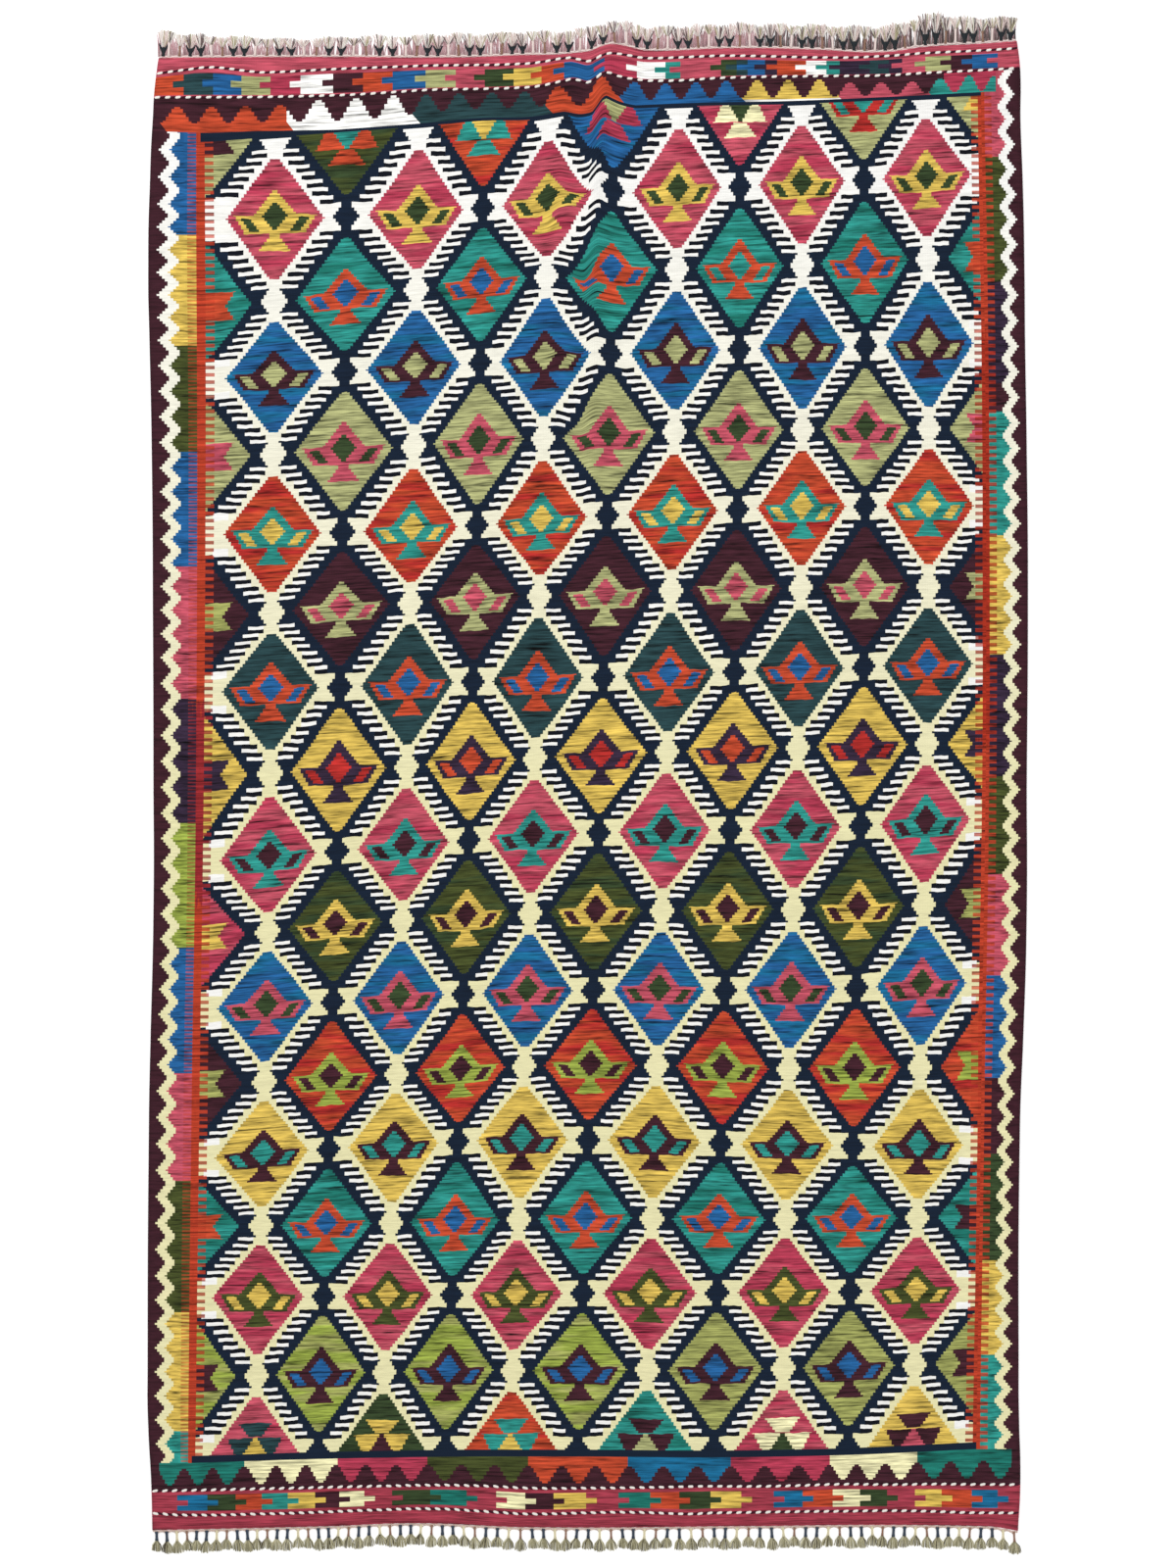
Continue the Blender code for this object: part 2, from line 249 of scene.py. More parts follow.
NEAR_BLOCKS = {
    -0.760: "madder", -0.706: "azure", -0.654: "green", -0.605: "orange", -0.560: "teal", -0.515: "yellow",
    -0.468: "aubergine", -0.426: "cream", -0.383: "madder", -0.335: "green", -0.269: "sea",
    -0.206: "madder", -0.155: "cream", -0.105: "aubergine", -0.056: "yellow", 0.000: "madder", 0.056: "sea",
    0.111: "orange", 0.161: "green", 0.215: "yellow", 0.268: "madder", 0.324: "azure", 0.374: "orange",
    0.426: "cream", 0.473: "green", 0.520: "madder", 0.568: "yellow", 0.614: "orange", 0.666: "azure",
    0.711: "madder",
}
LEFT_COMB = {-1.280: "comb", -0.195: "brick", 0.144: "comb"}
RIGHT_COMB = {-1.280: "comb", 0.076: "rust", 0.787: "comb"}
# The shade that a dye drifts to in places
ABRASH = {"orange": "red", "pink": "crimson", "teal": "sea", "blue": "azure", "crimson": "pink",
          "olive": "green", "lime": "moss"}

# ---------------------------------------------------------------- sizes of the pattern's details

# Inside the field, sizes are in metres on a lattice drawn out to these even steps.
CELL_WIDTH = 0.1126          # from one lattice column to the next
CELL_HEIGHT = 0.1354         # from one lattice row to the next
WARPS_PER_CELL = 27          # the stair steps in a diamond's edge
DIAMOND_WIDTH = 0.0780       # half of a diamond's width
CREAM_DIAMOND_HEIGHT = 0.1080    # half of its height, were its points sharp
CREAM_DIAMOND_TIP = 0.0985   # where its points are cut off
NAVY_DIAMOND_HEIGHT = 0.1060
NAVY_DIAMOND_TIP = 0.0995
CREAM_BORDER = 0.0138
NAVY_BAND = 0.0182
FINGER_PITCH = 0.01304
FINGER_START = 0.0230
FINGER_END = 0.1141
FINGER_GAP = 0.55            # share of the pitch
FINGER_LEVEL = 0.62          # where in its pitch a finger takes its length from the diamond's edge
NECK = 0.0066                # half of the width of the narrow places between hexagons
HEXAGON = 0.0214             # half of a hexagon's width
CREAM_SLOPE = 0.62           # how fast the cream and the navy hexagons narrow
NAVY_SLOPE = 0.74
SIDE_CREAM = 0.0325          # plain cream beside the combs, up and down from a diamond's middle
SIDE_CUT = 0.0020            # how much narrower the half diamonds beside the combs are
FAR_FLARE = 0.0055           # how much wider the cream knots on the far navy line are
FAR_GAP = 0.020              # share of the first row by which the cream stays off the far navy line
WHOLE_FROM = 9.0             # right of this lattice column the first row has a whole flower

# The parts of the motifs. Each has a top and a bottom below the diamond's centre, half of its width at
# the top, and how much that grows on the way down.
PART_NAMES = "top bottom width growth"
FLOWER = table(
    PART_NAMES,
    (-0.0490, 0.0000, 0.0000, 0.786),      # head
    (-0.0060, 0.0245, 0.0655, -0.58),      # wings
    (0.0240, 0.0270, 0.0064, 0.0),         # stalk
    (0.0270, 0.0525, 0.0064, 0.75),        # foot
)
HEART = table(PART_NAMES, (-0.0287, -0.0035, 0.0, 0.8135), (-0.0035, 0.0217, 0.0205, -0.8135))
LEAVES_OUTSIDE = table(PART_NAMES, (-0.0015, 0.0210, 0.0559, -0.72))
LEAVES_INSIDE = table(PART_NAMES, (-0.0015, 0.0210, 0.0403, -0.72))
TOWER = table(PART_NAMES, (0.0, 0.0275, 0.0347, 0.50), (0.0290, 0.0525, 0.0115, 0.76))
TOWER_HEART = table(PART_NAMES, (0.0, 0.0312, 0.0203, -0.65))
BRACKET = table(PART_NAMES, (0.0, 0.0237, 0.0355, 0.63))

# Side borders, as shares of the way from the comb's middle to the selvedge
COMB_SPINE = 0.085
COMB_TEETH = 0.26
COMB_PITCH = 0.0126
TOOTH_COVER = 0.85           # how fully the teeth cover what they reach into
FINE_COVER = 0.55            # the same for the fine teeth on the left comb's outer side
ZIGZAG_MIDDLE = 0.615
ZIGZAG_SWING = 0.11
ZIGZAG_HALF_WIDTH = 0.108
BORDER_WARPS = 19

# End bands, numbered out from the field: the navy line is 0 to 1, the stepped triangles 1 to 2, the
# arrow blocks 2 to 3 and the plain strip 3 to 4.
FAR_BLOCK_BAND = (2.08, 2.82)
NEAR_BLOCK_BAND = (2.19, 2.83)
FAR_TONGUE_BAND = (2.36, 2.60)
NEAR_TONGUE_BAND = (2.41, 2.62)
TONGUE = 0.0185              # how far an end block's middle third reaches into its neighbour
BAND_SLANT = 0.045           # how far the triangle colours' borders lean across their band
TOOTH_FLAT = 0.17            # the flat places at the teeth's tips and between them, in half pitches
TOOTH_STEPS = 6

# ---------------------------------------------------------------- sizes of the wool's unevenness, and of the painted light on it

PAINTED_LIGHT_REACH = 1.05            # painted light: how far from the rug's middle towards the far end the undyed wool goes from cream to plain white
SWAY = 0.05                  # slow and quick wavering of the weft, in lattice rows
SWAY_SCALE = 1.7
WOBBLE = 0.03
WOBBLE_SCALE = 7.0
COMB_WAVER = 0.10            # how far the change of the combs' red wavers along the rug
COMB_WAVER_SCALE = 30.0
COMB_WAVER_ACROSS = 9
ABRASH_ACROSS = 0.7          # how close together the dye drifts, for each lattice column and row
ABRASH_ALONG = 7.0
ABRASH_FROM = 0.47
ABRASH_EDGE = 8
ABRASH_SHIFT = 3.1           # sets the drift in the two sets of diamonds apart
WEFT_SHIFT = 5.3             # the same for their streaks
BAND_WEFT = (8, 0.35)        # how the end bands' streaks are spaced against the field's

# Strength of the streaks, against 1 for coloured wool
CREAM_STREAKS = 0.12
NAVY_STREAKS = 0.35
SELVEDGE_STREAKS = 0.5
LINE_STREAKS = 0.25
BAND_STREAKS = 0.8
# Three sorts of streaks, the finest last: how close they lie along the weft and across it
STREAKS = table(
    "along across detail strength",
    (1.2, 9.0, 2.0, 1.3), (2.2, 32.0, 1.0, 1.9), (6.0, 80.0, 1.0, 1.1),
)
DARK_LINES = (1.6, 46.0)     # the same for single dark picks
DARK_FROM = 0.57
DARK_EDGE = 12
DARK_STRENGTH = 0.46
BRIGHTNESS = 1.06
PLAIN_GRAIN = 0.25           # how much of the finest streaks is left in wool without any
WARP_PITCH = 0.0042
PICK_PITCH = 0.0030
PICK_SHIFT = 1.5             # how far the warps push the picks aside, as an angle
BUMP_STRENGTH = 0.35
BUMP_DEPTH = 0.0006
RIB_HEIGHT = 0.5
PICK_HEIGHT = 0.3
GRAIN_HEIGHT = 0.8
WOOL_ROUGHNESS = 0.86
GRAIN_ROUGHNESS = 0.12
WOOL_SHINE = 0.2

# ---------------------------------------------------------------- curves and lines through tables

def curve_through(points):
    """A smooth curve through a dictionary of places and values."""
    places, values = list(points), list(points.values())
    last = len(places) - 1

    def slope(i):
        before, after = max(i - 1, 0), min(i + 1, last)
        return (values[after] - values[before]) / (places[after] - places[before])

    def read(place):
        place = min(max(place, places[0]), places[last])
        i = min(bisect.bisect_right(places, place), last) - 1
        span = places[i + 1] - places[i]
        t = (place - places[i]) / span
        from_left = values[i] + slope(i) * span * t
        from_right = values[i + 1] - slope(i + 1) * span * (1 - t)
        blend = t * t * (3 - 2 * t)
        return from_left * (1 - blend) + from_right * blend

    return read


def columns_of(rows):
    """The columns of a table by name, each a dictionary over the table's first column."""
    return {name: {row[0]: getattr(row, name) for row in rows} for name in rows[0]._fields[1:]}


def curves_of(rows):
    """A smooth curve for each column of a table."""
    return {name: curve_through(column) for name, column in columns_of(rows).items()}


def between_points(points, place):
    """Straight lines through a dictionary of places and values."""
    return float(np.interp(place, list(points), list(points.values())))


def counted(points, place):
    """The same, carried on evenly past the dictionary's ends."""
    places = list(points)
    if place < places[0]:
        a, b = places[:2]
    elif place > places[-1]:
        a, b = places[-2:]
    else:
        return between_points(points, place)
    return points[a] + (points[b] - points[a]) * (place - a) / (b - a)


side_curves = curves_of(SIDES)
crease_curves = curves_of(CREASE)
kink_push = curve_through(KINK)
column_curves = curves_of(COLUMN_LINES)
row_curves = curves_of(ROW_LINES)
end_curves = {1: curves_of(FAR_END), -1: curves_of(NEAR_END)}
ripple_curves = {1: curves_of(FAR_RIPPLES), -1: curves_of(NEAR_RIPPLES)}
teeth_columns = {1: columns_of(FAR_TEETH), -1: columns_of(NEAR_TEETH)}


def crease_lift(across, along):
    """Height of the cloth's underside over the floor."""
    if along <= CREASE[0].along:
        return 0.0
    off = abs(across - crease_curves["middle"](along)) / CREASE_HALF_WIDTH
    if off >= 1.0:
        return 0.0
    return crease_curves["height"](along) * 0.5 * (1 + math.cos(math.pi * off))


def weft_push(across, along):
    """How far the crease drags the weave towards the far end."""
    if along <= CREASE[0].along:
        return 0.0
    push = crease_curves["kink"](along) * kink_push(across - crease_curves["middle"](along))
    for drag in DRAGS:
        away = math.hypot(across - drag.across, along - drag.along) / drag.reach
        push += drag.push * math.exp(-away * away)
    return push


def side_edge(side, along):
    """The selvedge on the left (-1) or right (+1)."""
    return side * (CLOTH_WIDTH / 2 + side_curves["left" if side < 0 else "right"](along))


def spread(across, along):
    """A place across the plain rectangle, moved out or in with the selvedge."""
    side = -1 if across < 0 else 1
    return across * abs(side_edge(side, along)) / (CLOTH_WIDTH / 2)


def comb_across(side, row):
    """The middle of the comb on the left (-1) or right (+1) at a lattice row."""
    return column_curves["left_comb" if side < 0 else "right_comb"](row)


def end_line(end, name, across):
    """How far out a line of an end lies: its edge or one of its twined lines."""
    curves = end_curves[end]
    edge = CLOTH_LENGTH / 2 + curves["beyond"](across)
    if name == "beyond":
        return end * edge
    return end * (edge - curves[name](across) - ripple_curves[end][name](across))


def linear_rgb(colour):
    """A colour of 0 to 255 as the linear RGBA that shaders use."""
    def channel(value):
        value /= 255
        return value / 12.92 if value <= 0.04045 else ((value + 0.055) / 1.055) ** 2.4

    return tuple(channel(value) for value in colour) + (1.0,)


WOOL = {name: linear_rgb(colour) for name, colour in PALETTE.items()}


# ---------------------------------------------------------------- shader formulas

def math_node(operation):
    """A method that puts a signal, and what else it is given, through one math node."""
    return lambda self, *others: self.graph.math(operation, self, *others)


class Signal:
    """A number worked out by shader nodes, so that a pattern can be written as a formula."""

    def __init__(self, graph, socket):
        self.graph = graph
        self.socket = socket

    __add__ = __radd__ = math_node("ADD")
    __sub__ = math_node("SUBTRACT")
    __mul__ = __rmul__ = __and__ = math_node("MULTIPLY")
    __truediv__ = math_node("DIVIDE")
    __abs__ = math_node("ABSOLUTE")
    __lt__ = math_node("LESS_THAN")
    __gt__ = math_node("GREATER_THAN")
    __or__ = at_least = math_node("MAXIMUM")
    at_most = math_node("MINIMUM")
    floored = math_node("FLOOR")
    fraction = math_node("FRACT")

    def __rsub__(self, other):
        return self.graph.math("SUBTRACT", other, self)

    def stepped(self, count):
        """Rounded to the middle of one of count even steps in each unit."""
        return ((self * count).floored() + 0.5) / count

    def from_even(self):
        """The signed distance to the nearest even number."""
        return self.graph.math("WRAP", self, 1.0, -1.0)

    def clamped(self):
        return self.at_least(0.0).at_most(1.0)

    def between(self, low, high):
        return (self > low) & (self < high)


class Graph:
    """Adds nodes to a material's tree."""

    def __init__(self, tree):
        self.tree = tree

    def wire(self, target, value):
        if isinstance(value, Signal):
            value = value.socket
        if isinstance(value, bpy.types.NodeSocket):
            self.tree.links.new(value, target)
        else:
            target.default_value = value

    def node(self, kind, *values, **settings):
        """A node with its settings and with what goes into its first inputs."""
        made = self.tree.nodes.new("ShaderNode" + kind)
        for key, value in settings.items():
            setattr(made, key, value)
        for target, value in zip(made.inputs, values):
            self.wire(target, value)
        return made

    def math(self, operation, *values):
        return Signal(self, self.node("Math", *values, operation=operation).outputs[0])

    def choose(self, mask, yes, no):
        """The signal yes where mask is 1 and no where it is 0."""
        return no + mask * (yes - no)

    def paint(self, mask, colour, over):
        """A colour laid over another one where mask is 1."""
        node = self.node("Mix", mask, data_type="RGBA")
        self.wire(node.inputs[6], over)
        self.wire(node.inputs[7], colour)
        return node.outputs[2]

    def split(self, vector):
        """A vector's three numbers."""
        return [Signal(self, output) for output in self.node("SeparateXYZ", vector).outputs]

    def attribute(self, name, output="Vector"):
        return self.node("Attribute", attribute_name=name).outputs[output]

    def vector(self, x, y):
        return self.node("CombineXYZ", x, y).outputs[0]

    def noise(self, place, scale=1.0, detail=2.0):
        node = self.node("TexNoise", place)
        node.inputs["Scale"].default_value = scale
        node.inputs["Detail"].default_value = detail
        return Signal(self, node.outputs["Fac"])

    def stretched_noise(self, place, x, y, detail):
        node = self.node("Mapping", place)
        node.inputs["Scale"].default_value = (x, y, 1.0)
        return self.noise(node.outputs[0], detail=detail)

    def runs(self, place, table):
        """The colour of a stripe at a place along it."""
        (_, first), *rest = table.items()
        colour = WOOL[first]
        for start, name in rest:
            colour = self.paint(place > start, WOOL[name], colour)
        return colour


# ---------------------------------------------------------------- the woven pattern

def cloth_places(graph):
    """Metres across and along the rug, as signals."""
    return graph.split(graph.node("TexCoord").outputs["Object"])[:2]


def cream_with_painted_light(graph, along):
    """Undyed cream wool with painted light: it is painted plain white towards the far end, as if lit more
    brightly there.
    """
    return graph.paint(((PAINTED_LIGHT_REACH - along) / PAINTED_LIGHT_REACH).clamped(), WOOL["cream"], WOOL["white"])


def comb_wool(graph, across, along):
    """The combs' red, which runs from orange to brick along the rug."""
    waver = graph.noise(graph.vector(along, across * COMB_WAVER_ACROSS), scale=COMB_WAVER_SCALE)
    drift = along + (waver - 0.5) * COMB_WAVER
    return graph.paint(across > 0.0, graph.runs(drift, RIGHT_COMB), graph.runs(drift, LEFT_COMB))


def shape(x, y, parts):
    """Where a motif's parts lie. x is measured out from the diamond's middle line and y down from its
    centre."""
    mask = 0.0
    for part in parts:
        mask = ((x < part.width + part.growth * (y - part.top)) & y.between(part.top, part.bottom)) | mask
    return mask


def palmette(x, y):
    """The flower on a stem in a whole diamond, as masks of its body and of its inner parts."""
    leaves = shape(x, y, LEAVES_OUTSIDE) & (1 - shape(x, y, LEAVES_INSIDE))
    return shape(x, y, FLOWER), shape(x, y, HEART) | leaves


def field_colour(graph):
    """The lattice: its colour, how strongly its wool is streaked, and the place along its weft."""
    column, row, _ = graph.split(graph.attribute("lattice"))
    comb, _, _ = graph.split(graph.attribute("border"))
    across, along = cloth_places(graph)
    sway = graph.noise(graph.vector(column, row), scale=SWAY_SCALE, detail=1.0)
    wobble = graph.noise(graph.vector(column, row), scale=WOBBLE_SCALE, detail=1.0)
    uneven_row = row + (sway - 0.5) * SWAY + (wobble - 0.5) * WOBBLE
    stepped_column = column.stepped(WARPS_PER_CELL)

    cream_x = abs((stepped_column - 1).from_even()) * CELL_WIDTH
    cream_y = (uneven_row - 1).from_even() * CELL_HEIGHT
    at_side = (column < 1.0) | (column > LAST_COLUMN - 1.0)
    navy_x = CELL_WIDTH - cream_x + at_side * SIDE_CUT
    navy_y = uneven_row.from_even() * CELL_HEIGHT
    up_down = abs(cream_y)
    from_navy = CELL_HEIGHT - up_down

    def cream_edge(height):
        return DIAMOND_WIDTH - height * (DIAMOND_WIDTH / CREAM_DIAMOND_HEIGHT)

    def navy_edge(height):
        return DIAMOND_WIDTH - (CELL_HEIGHT - height) * (DIAMOND_WIDTH / NAVY_DIAMOND_HEIGHT)

    in_cream_diamond = (cream_x < cream_edge(up_down)) & (up_down < CREAM_DIAMOND_TIP)
    in_navy_diamond = (navy_x < navy_edge(up_down)) & (from_navy < NAVY_DIAMOND_TIP)

    fingers = (up_down - FINGER_START) / FINGER_PITCH
    beside_fingers = up_down.between(FINGER_START, FINGER_END)
    square_ended = FINGER_START + (fingers.floored() + FINGER_LEVEL) * FINGER_PITCH
    level = graph.choose(beside_fingers, square_ended, up_down)
    knot = HEXAGON + (row < 0.5) * FAR_FLARE - CREAM_SLOPE * from_navy
    border = cream_x < (cream_edge(level) + CREAM_BORDER).at_least(knot).at_least(NECK)
    beside_knot = (HEXAGON - NAVY_SLOPE * up_down).at_least(NECK)
    beside_band = (navy_edge(level) + NAVY_BAND).at_least(NECK)
    reach = navy_x > graph.choose(up_down < FINGER_START, beside_knot, beside_band)
    finger = (fingers.fraction() > FINGER_GAP) & (up_down < FINGER_END)
    beside_comb = at_side & (up_down < SIDE_CREAM)
    cream = border | (reach & (finger | (up_down < FINGER_START))) | beside_comb
    cream = cream & (row > FAR_GAP)
    gap = reach & beside_fingers & (1 - cream)
    bleached = reach & beside_fingers & cream & (1 - border)

    x = graph.choose(in_cream_diamond, cream_x, navy_x)
    y = graph.choose(in_cream_diamond, cream_y, navy_y)
    at_end = ((row < 1.0) & (1 - in_cream_diamond)) | ((row > LAST_ROW - 1.0) & in_cream_diamond)
    whole_end = (column > WHOLE_FROM) & (row < 1.0)
    as_half = at_end & (1 - whole_end)
    at_comb = at_side & (1 - in_cream_diamond)
    flower, flower_inner = palmette(x, y)
    motif = graph.choose(as_half, shape(x, abs(y), TOWER), flower)
    motif = graph.choose(at_comb, shape(x, abs(y), BRACKET), motif)
    inner = graph.choose(as_half, shape(x, abs(y), TOWER_HEART), flower_inner) & (1 - at_comb) & motif

    colours = []
    for part in Diamond._fields:
        cream_colour = graph.attribute("cream_" + part, "Color")
        colours.append(graph.paint(in_cream_diamond, cream_colour, graph.attribute("navy_" + part, "Color")))
    fill, motif_colour, inner_colour, abrash = colours
    drift_place = graph.vector(column * ABRASH_ACROSS + in_cream_diamond * ABRASH_SHIFT, row * ABRASH_ALONG)
    drift = (graph.noise(drift_place) - ABRASH_FROM) * ABRASH_EDGE
    drawn = graph.paint(drift.clamped(), abrash, fill)
    drawn = graph.paint(motif, motif_colour, drawn)
    drawn = graph.paint(inner, inner_colour, drawn)
    ground = graph.paint(gap, WOOL["ink"], WOOL["navy"])
    # The cream carries painted light, whiter towards the far end.
    ground = graph.paint(cream, cream_with_painted_light(graph, along), ground)
    ground = graph.paint(bleached, WOOL["white"], ground)
    in_diamond = in_cream_diamond | in_navy_diamond
    colour = graph.paint(in_diamond, drawn, ground)

    tooth = ((along / COMB_PITCH).fraction() > 0.5) & (comb < COMB_TEETH)
    spine = comb < COMB_SPINE
    red = comb_wool(graph, across, along)
    colour = graph.paint(tooth * TOOTH_COVER, red, colour)
    colour = graph.paint(spine, red, colour)
    ground_streaks = graph.choose(cream, CREAM_STREAKS, NAVY_STREAKS)
    streaks = graph.choose(in_diamond | tooth | spine, 1.0, ground_streaks)
    return colour, streaks, graph.vector(column + in_cream_diamond * WEFT_SHIFT, row)


def border_colour(graph):
    """A side border: the comb's outer teeth, a striped column, a cream zigzag and the dark selvedge."""
    out, points, side = graph.split(graph.attribute("border"))
    _, row, _ = graph.split(graph.attribute("lattice"))
    across, along = cloth_places(graph)
    stepped_out = out.stepped(BORDER_WARPS)
    swing = abs((points * 2).from_even()) * -2 + 1
    middle = ZIGZAG_MIDDLE + swing * ZIGZAG_SWING
    column = graph.paint(side > 0.0, graph.runs(along, RIGHT_COLUMN), graph.runs(along, LEFT_COLUMN))
    outside = stepped_out > middle
    colour = graph.paint(outside, WOOL["aubergine"], column)
    zigzag = abs(stepped_out - middle) < ZIGZAG_HALF_WIDTH
    # The zigzag's cream carries the same painted light, whiter towards the far end.
    colour = graph.paint(zigzag, cream_with_painted_light(graph, along), colour)
    red = comb_wool(graph, across, along)
    coarse = ((along / COMB_PITCH).fraction() > 0.5) * TOOTH_COVER
    fine = ((along / COMB_PITCH * 2).fraction() > 0.5) * FINE_COVER
    tooth = graph.choose(side > 0.0, coarse, fine) & (out < COMB_TEETH)
    colour = graph.paint(tooth, red, colour)
    colour = graph.paint(out < COMB_SPINE, red, colour)
    streaks = graph.choose(zigzag, CREAM_STREAKS, graph.choose(outside, SELVEDGE_STREAKS, 1.0))
    return colour, streaks, graph.vector(out, row)


def bands_colour(graph):
    """The bands across both ends."""
    band, _, end = graph.split(graph.attribute("band"))
    teeth, tip, strip = graph.split(graph.attribute("teeth"))
    across, along = cloth_places(graph)
    far = end > 0.0
    far_blocks = graph.runs(across + band.between(*FAR_TONGUE_BAND) * TONGUE, FAR_BLOCKS)
    near_blocks = graph.runs(across - band.between(*NEAR_TONGUE_BAND) * TONGUE, NEAR_BLOCKS)
    in_block = graph.choose(far, band.between(*FAR_BLOCK_BAND), band.between(*NEAR_BLOCK_BAND))
    ground = graph.paint(far, WOOL["pink"], WOOL["madder"])
    blocks = graph.paint(in_block, graph.paint(far, far_blocks, near_blocks), ground)

    stair = abs((teeth * 2).from_even()).stepped(TOOTH_STEPS)
    climb = ((stair - TOOTH_FLAT) / (1 - TOOTH_FLAT * 2)).clamped()
    point = band - 1 < strip + (tip - strip) * (1 - climb)
    lean = (strip + 1 - band).at_least(0.0) * BAND_SLANT
    far_row = graph.runs(across - lean, FAR_TRIANGLES)
    far_row = graph.paint(band - 1 < strip * 0.5, graph.runs(across - lean, FAR_STRIP), far_row)
    triangles = graph.paint(far, far_row, graph.runs(across, NEAR_TRIANGLES))
    behind = graph.paint(far, graph.runs(across, FAR_GROUND), WOOL["aubergine"])
    triangles = graph.paint(point, triangles, behind)

    colour = graph.paint(band > 1.0, triangles, WOOL["navy"])
    colour = graph.paint(band > 2.0, blocks, colour)
    colour = graph.paint(band > 3.0, ground, colour)
    weft_across, weft_along = BAND_WEFT
    weft_place = graph.vector(across * weft_across, band * weft_along)
    return colour, graph.choose(band < 1.0, LINE_STREAKS, BAND_STREAKS), weft_place


def finish_wool(graph, colour, streaks, weft_place):
    """Wool over the drawn colours: streaky dye, ribs of warp, and a matt, slightly hairy surface."""
    shader = graph.tree.nodes["Principled BSDF"]
    across, along = cloth_places(graph)
    tone = 0.0
    for streak in STREAKS:
        fine = graph.stretched_noise(weft_place, streak.along, streak.across, streak.detail)
        tone = tone + (fine - 0.5) * streak.strength
    lines = graph.stretched_noise(weft_place, *DARK_LINES, detail=0.0)
    tone = tone - ((lines - DARK_FROM) * DARK_EDGE).clamped() * DARK_STRENGTH
    tint = (BRIGHTNESS + tone) * streaks + (1 - streaks) * (1 + (fine - 0.5) * PLAIN_GRAIN)
    shade = graph.node("VectorMath", colour, operation="SCALE")
    graph.wire(shade.inputs["Scale"], tint)
    graph.wire(shader.inputs["Base Color"], shade.outputs[0])

    ribs = graph.math("SINE", across * (2 * math.pi / WARP_PITCH))
    picks = graph.math("SINE", along * (2 * math.pi / PICK_PITCH) + ribs * PICK_SHIFT)
    bump = graph.node("Bump")
    bump.inputs["Strength"].default_value = BUMP_STRENGTH
    bump.inputs["Distance"].default_value = BUMP_DEPTH
    height = ribs * RIB_HEIGHT + picks * PICK_HEIGHT + fine * GRAIN_HEIGHT
    graph.wire(bump.inputs["Height"], height)
    graph.wire(shader.inputs["Normal"], bump.outputs[0])
    graph.wire(shader.inputs["Roughness"], WOOL_ROUGHNESS + fine * GRAIN_ROUGHNESS)
    shader.inputs["Specular IOR Level"].default_value = WOOL_SHINE


def woven(name, draw):
    material = bpy.data.materials.new(name)
    material.use_nodes = True
    graph = Graph(material.node_tree)
    finish_wool(graph, *draw(graph))
    return material


# ---------------------------------------------------------------- the cloth

GridColumn = namedtuple("GridColumn", "lattice border side")
GridRow = namedtuple("GridRow", "lattice band end")
SIDE_LINES = 8               # grid lines in a side border, and in the half diamonds beside it
FIELD_LINES = 16             # grid lines in each two lattice columns
CREASE_LINES = 48            # the same where the crease runs
CREASE_COLUMN = 5
ROW_LINES_EACH = 10          # crosswise grid lines in a lattice row
COLUMN_STATIONS = (0, 1, 3, 5, 7, 9, 11, 12)
ROW_STATIONS = (0, 3, 6, 9, 12)
CORNER_BORDER = 0.3          # the far bands' right part of the border runs on over the triangles
NUDGE = 1e-4                 # keeps a whole lattice number from being rounded down
MAP_MARGIN = 0.002
FIELD, BORDER, BANDS = range(3)      # the cloth's materials


def steps(start, stop, count):
    """Evenly spaced numbers from start up to, but without, stop."""
    return [start + (stop - start) * i / count for i in range(count)]


def grid_columns():
    """Lengthwise grid lines, left to right. The border number is 0 at the comb and 1 at the selvedge."""
    outwards = steps(0, 1, SIDE_LINES)
    last = float(LAST_COLUMN)
    lines = [GridColumn(0.0, 1 - t, -1) for t in outwards] + [GridColumn(t, 0.0, -1) for t in outwards]
    for first in range(1, LAST_COLUMN - 1, 2):
        count = CREASE_LINES if first == CREASE_COLUMN else FIELD_LINES
        lines += [GridColumn(c, 0.0, 0) for c in steps(first, first + 2, count)]
    lines += [GridColumn(last - 1 + t, 0.0, 1) for t in outwards]
    return lines + [GridColumn(last, t, 1) for t in outwards + [1.0]]


def grid_rows():
    """Crosswise grid lines, far to near. Bands are numbered out from the field, as the paint does."""
    bands = steps(4, 3, 2) + steps(3, 2, 3) + steps(2, 1, 4) + [1.0]
    last = float(LAST_ROW)
    rows = [GridRow(0.0, band, 1) for band in bands]
    rows += [GridRow(t, 0.0, 0) for t in steps(0, LAST_ROW, ROW_LINES_EACH * LAST_ROW) + [last]]
    return rows + [GridRow(last, band, -1) for band in reversed(bands)]


def column_across(column, row, along):
    """Where a lengthwise grid line lies at a lattice row, and the lattice column that is there."""
    if column.border > 0:
        comb = comb_across(column.side, row)
        return comb + (side_edge(column.side, along) - comb) * column.border, column.lattice
    stations = {c: column_curves["c%d" % c](row) for c in COLUMN_STATIONS}
    if 1 <= column.lattice <= LAST_COLUMN - 1:
        return between_points(stations, column.lattice), column.lattice
    side = -1 if column.lattice < 1 else 1
    beside, share = (1, column.lattice) if side < 0 else (LAST_COLUMN - 1, LAST_COLUMN - column.lattice)
    comb = comb_across(side, row)
    across = comb + (stations[beside] - comb) * share
    return across, between_points({x: c for c, x in stations.items()}, across)


def row_along(row, lattice_column, across):
    """Where a crosswise grid line lies at a lattice column."""
    along = curve_through({c: row_curves["at_%d" % c](row.lattice) for c in ROW_STATIONS})(lattice_column)
    along += weft_push(across, along)
    if row.end == 0:
        return along
    navy_line = FAR_NAVY_LINE if row.end > 0 else NEAR_NAVY_LINE
    lines = [along, along + row.end * between_points(navy_line, across)]
    lines += [end_line(row.end, name, across) for name in ("inner_twine", "outer_twine", "beyond")]
    return between_points(dict(enumerate(lines)), row.band)


